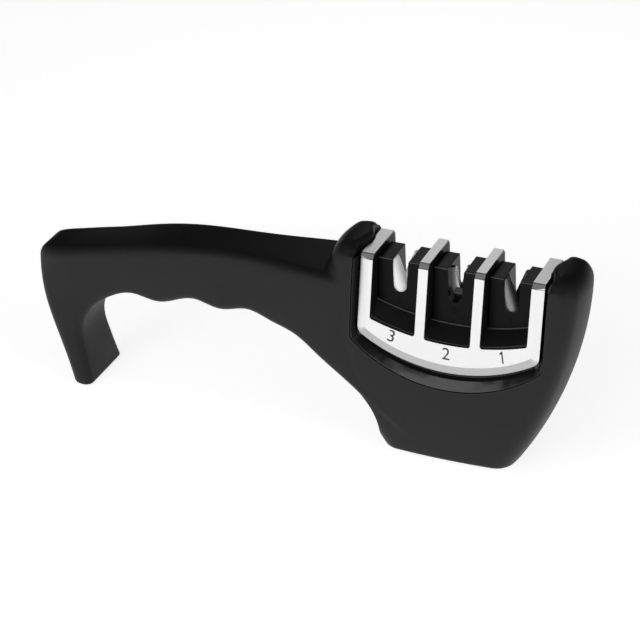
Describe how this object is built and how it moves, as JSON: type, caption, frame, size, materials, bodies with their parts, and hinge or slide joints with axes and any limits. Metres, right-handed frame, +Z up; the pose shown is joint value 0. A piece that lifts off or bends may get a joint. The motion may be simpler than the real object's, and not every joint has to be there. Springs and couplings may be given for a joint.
{
  "type": "manual knife sharpener",
  "caption": "Hand-held pull-through knife sharpener: a black handle and head standing on its foot and base, with a steel-covered three-stage module that lifts out.",
  "frame": {"origin": "middle of the object's length and width, on the surface that it stands on", "axes": "+X from the handle to the head, +Y to the back, +Z up"},
  "size_m": [0.2145, 0.0364, 0.081],
  "materials": {
    "black_abs": "fine satin moulding",
    "carrier_abs": "satin",
    "insert_black": "satin",
    "cover_steel": "finely brushed, satin",
    "screw_steel": "plated",
    "ceramic": "fine fired ceramic",
    "carbide": "ground",
    "diamond": "steel coated with fine diamond grit",
    "pad_rubber": "matt"
  },
  "bodies": {
    "body": {"handle_body": "black_abs", "base_plate": "black_abs", "base_screws": "screw_steel", "base_pad": "pad_rubber", "foot_pad": "pad_rubber"},
    "module": {"module_carrier": "carrier_abs", "steel_cover": "cover_steel", "ceramic_insert": "insert_black", "carbide_insert": "insert_black", "diamond_insert": "insert_black", "ceramic_rod_front": "ceramic", "ceramic_rod_back": "ceramic", "carbide_blade_front": "carbide", "carbide_blade_back": "carbide", "diamond_rod_front": "diamond", "diamond_rod_back": "diamond", "retainer_plate": "insert_black", "retainer_screws": "screw_steel"}
  },
  "joints": [
    {"name": "module_lift", "type": "slide", "parent": "body", "child": "module", "axis": [0, 0, 1], "range_m": [0, 0.05]}
  ]
}
